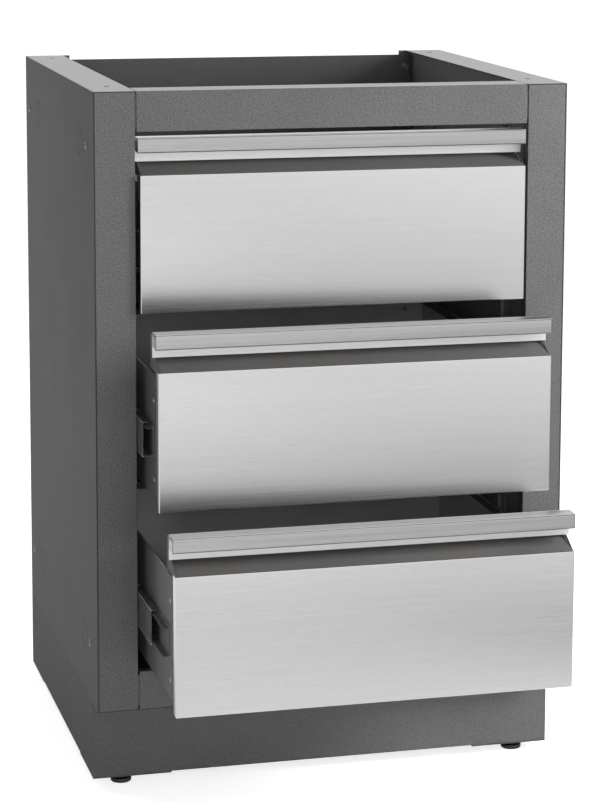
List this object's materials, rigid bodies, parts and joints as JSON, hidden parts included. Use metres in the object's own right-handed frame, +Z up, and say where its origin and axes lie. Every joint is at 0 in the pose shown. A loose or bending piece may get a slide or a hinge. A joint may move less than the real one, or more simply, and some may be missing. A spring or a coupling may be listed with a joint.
{
  "type": "outdoor kitchen drawer unit",
  "caption": "Free-standing outdoor kitchen base cabinet with wide brushed drawers stacked in a dark steel carcass, open-topped for a worktop, on a recessed plinth.",
  "frame": {"origin": "on the floor, under the middle of the whole box with the two lower drawers standing open as in the picture", "axes": "+Z up, +X to the right as seen from the front, +Y to the back; the drawers open towards -Y"},
  "size_m": [0.614, 0.7746, 0.898],
  "materials": {
    "charcoal_coat": "fine textured charcoal powder coat",
    "inner_coat": "dark satin powder coat",
    "pocket_coat": "dark warm grey satin coat",
    "tray_coat": "dark grey satin coat",
    "brushed_front": "stainless steel brushed across the width",
    "slide_steel": "bright zinc plated",
    "zinc": "zinc plated",
    "fastener_steel": "plain plated steel",
    "foot_steel": "plated steel, slightly dulled"
  },
  "bodies": {
    "chassis": {"side_panel_right": "charcoal_coat", "side_liner_right": "inner_coat", "slide_posts_right": "zinc", "plinth_side_right": "charcoal_coat", "side_panel_left": "charcoal_coat", "side_liner_left": "inner_coat", "slide_posts_left": "zinc", "plinth_side_left": "charcoal_coat", "top_rail": "charcoal_coat", "bottom_rail": "charcoal_coat", "plinth_front": "charcoal_coat", "plinth_rear": "charcoal_coat", "back_panel": "inner_coat", "floor_panel": "inner_coat", "foot_plates": "zinc", "side_bolts": "fastener_steel", "side_nuts": "fastener_steel", "back_bolts": "fastener_steel", "rail_nuts": "fastener_steel", "slide_rivets": "fastener_steel", "slide_top_fixed_right": "slide_steel", "slide_top_fixed_left": "slide_steel", "slide_middle_fixed_right": "slide_steel", "slide_middle_fixed_left": "slide_steel", "slide_bottom_fixed_right": "slide_steel", "slide_bottom_fixed_left": "slide_steel"},
    "drawer_top": {"drawer_top_panel": "brushed_front", "drawer_top_handle": "brushed_front", "drawer_top_frame": "pocket_coat", "drawer_top_tray": "tray_coat", "drawer_top_fasteners": "fastener_steel", "slide_top_runner_right": "slide_steel", "slide_top_runner_left": "slide_steel"},
    "carrier_top": {"slide_top_carrier_right": "slide_steel", "slide_top_carrier_left": "slide_steel"},
    "drawer_middle": {"drawer_middle_panel": "brushed_front", "drawer_middle_handle": "brushed_front", "drawer_middle_frame": "pocket_coat", "drawer_middle_tray": "tray_coat", "drawer_middle_fasteners": "fastener_steel", "slide_middle_runner_right": "slide_steel", "slide_middle_runner_left": "slide_steel"},
    "carrier_middle": {"slide_middle_carrier_right": "slide_steel", "slide_middle_carrier_left": "slide_steel"},
    "drawer_bottom": {"drawer_bottom_panel": "brushed_front", "drawer_bottom_handle": "brushed_front", "drawer_bottom_frame": "pocket_coat", "drawer_bottom_tray": "tray_coat", "drawer_bottom_fasteners": "fastener_steel", "slide_bottom_runner_right": "slide_steel", "slide_bottom_runner_left": "slide_steel"},
    "carrier_bottom": {"slide_bottom_carrier_right": "slide_steel", "slide_bottom_carrier_left": "slide_steel"},
    "level_front_right": {"foot_front_right": "foot_steel"},
    "level_front_left": {"foot_front_left": "foot_steel"},
    "level_rear_right": {"foot_rear_right": "foot_steel"},
    "level_rear_left": {"foot_rear_left": "foot_steel"}
  },
  "joints": [
    {"name": "drawer_top_slide", "type": "slide", "parent": "chassis", "child": "drawer_top", "axis": [0, -1, 0], "range_m": [0, 0.48]},
    {"name": "carrier_top_slide", "type": "slide", "parent": "chassis", "child": "carrier_top", "axis": [0, -1, 0], "range_m": [0, 0.24]},
    {"name": "drawer_middle_slide", "type": "slide", "parent": "chassis", "child": "drawer_middle", "axis": [0, -1, 0], "range_m": [-0.11, 0.37]},
    {"name": "carrier_middle_slide", "type": "slide", "parent": "chassis", "child": "carrier_middle", "axis": [0, -1, 0], "range_m": [-0.055, 0.185]},
    {"name": "drawer_bottom_slide", "type": "slide", "parent": "chassis", "child": "drawer_bottom", "axis": [0, -1, 0], "range_m": [-0.208, 0.272]},
    {"name": "carrier_bottom_slide", "type": "slide", "parent": "chassis", "child": "carrier_bottom", "axis": [0, -1, 0], "range_m": [-0.104, 0.136]},
    {"name": "level_front_right_adjust", "type": "slide", "parent": "chassis", "child": "level_front_right", "axis": [0, 0, 1], "range_m": [-0.025, 0]},
    {"name": "level_front_left_adjust", "type": "slide", "parent": "chassis", "child": "level_front_left", "axis": [0, 0, 1], "range_m": [-0.025, 0]},
    {"name": "level_rear_right_adjust", "type": "slide", "parent": "chassis", "child": "level_rear_right", "axis": [0, 0, 1], "range_m": [-0.025, 0]},
    {"name": "level_rear_left_adjust", "type": "slide", "parent": "chassis", "child": "level_rear_left", "axis": [0, 0, 1], "range_m": [-0.025, 0]}
  ],
  "couplings": [
    {"joint": "carrier_top_slide", "follows": "drawer_top_slide", "ratio": 0.5},
    {"joint": "carrier_middle_slide", "follows": "drawer_middle_slide", "ratio": 0.5},
    {"joint": "carrier_bottom_slide", "follows": "drawer_bottom_slide", "ratio": 0.5}
  ]
}
